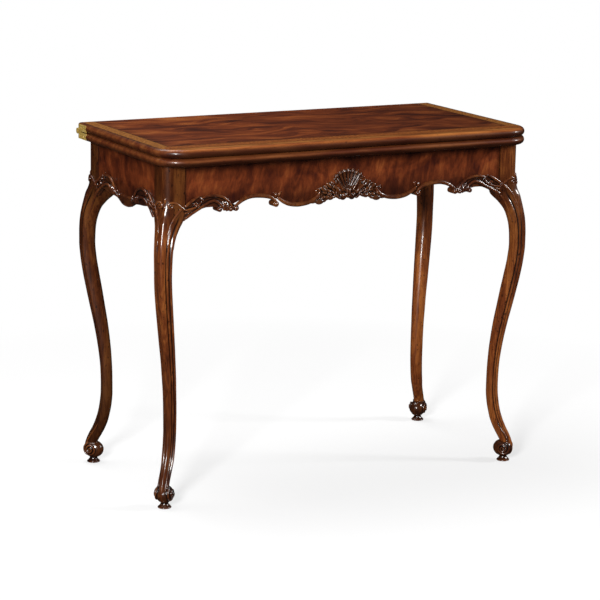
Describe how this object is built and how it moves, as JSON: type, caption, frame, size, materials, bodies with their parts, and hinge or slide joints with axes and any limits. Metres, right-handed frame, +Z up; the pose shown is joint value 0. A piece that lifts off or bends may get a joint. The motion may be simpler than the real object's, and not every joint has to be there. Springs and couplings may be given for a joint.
{
  "type": "card table",
  "caption": "Fold-over card table: carved apron, cabriole legs on scroll feet, and a doubled top that swivels and unfolds into a square playing surface.",
  "frame": {"origin": "on the floor, under the middle of the closed table's bounding box", "axes": "+X along the table's length towards its right end seen from the front, +Y from the carved front to the hinged back, +Z up"},
  "size_m": [0.9152, 0.464, 0.778],
  "materials": {
    "polished_mahogany": "polished red-brown solid mahogany",
    "flame_veneer": "polished flame-figured veneer",
    "carved_mahogany": "dark polished carving",
    "inside_wood": "plain unpolished inside timber",
    "aged_brass": "aged, slightly green",
    "zinced_steel": "dull zinc",
    "green_baize": "short woollen nap"
  },
  "bodies": {
    "frame": {"leg_front_right": "polished_mahogany", "corner_brace_front_right": "inside_wood", "brace_screw_front_right": "zinced_steel", "leg_back_right": "polished_mahogany", "corner_brace_back_right": "inside_wood", "brace_screw_back_right": "zinced_steel", "leg_back_left": "polished_mahogany", "corner_brace_back_left": "inside_wood", "brace_screw_back_left": "zinced_steel", "leg_front_left": "polished_mahogany", "corner_brace_front_left": "inside_wood", "brace_screw_front_left": "zinced_steel", "rail_front": "flame_veneer", "rail_right": "flame_veneer", "rail_back": "flame_veneer", "rail_left": "flame_veneer", "edge_moulding_front_right": "carved_mahogany", "edge_moulding_front_left": "carved_mahogany", "edge_moulding_left": "carved_mahogany", "edge_moulding_right": "carved_mahogany", "edge_moulding_back": "carved_mahogany", "shell_carving": "carved_mahogany", "leaf_carving_right": "carved_mahogany", "leaf_carving_left": "carved_mahogany", "pivot_rail": "inside_wood"},
    "lower_top": {"pivot_plate": "zinced_steel", "pivot_washer": "zinced_steel", "pivot_nut": "zinced_steel", "stop_pin": "aged_brass", "lower_leaf_panel": "flame_veneer", "lower_leaf_lipping": "polished_mahogany", "lower_playing_cloth": "green_baize", "hinge_left_lower_plate": "aged_brass", "hinge_left_lower_screw_1": "aged_brass", "hinge_left_lower_screw_2": "aged_brass", "hinge_left_lower_screw_3": "aged_brass", "hinge_left_pin": "aged_brass", "hinge_right_lower_plate": "aged_brass", "hinge_right_lower_screw_1": "aged_brass", "hinge_right_lower_screw_2": "aged_brass", "hinge_right_lower_screw_3": "aged_brass", "hinge_right_pin": "aged_brass"},
    "upper_leaf": {"upper_leaf_panel": "flame_veneer", "upper_leaf_lipping": "polished_mahogany", "upper_playing_cloth": "green_baize", "hinge_left_upper_plate": "aged_brass", "hinge_left_upper_screw_1": "aged_brass", "hinge_left_upper_screw_2": "aged_brass", "hinge_left_upper_screw_3": "aged_brass", "hinge_right_upper_plate": "aged_brass", "hinge_right_upper_screw_1": "aged_brass", "hinge_right_upper_screw_2": "aged_brass", "hinge_right_upper_screw_3": "aged_brass"}
  },
  "joints": [
    {"name": "top_swivel", "type": "hinge", "parent": "frame", "child": "lower_top", "pos_m": [0.11425, 0.11075, 0.7412], "axis": [0, 0, 1], "range_deg": [0, 90]},
    {"name": "leaf_fold", "type": "hinge", "parent": "lower_top", "child": "upper_leaf", "pos_m": [0, 0.2255, 0.7596], "axis": [-1, 0, 0], "range_deg": [0, 180]}
  ]
}
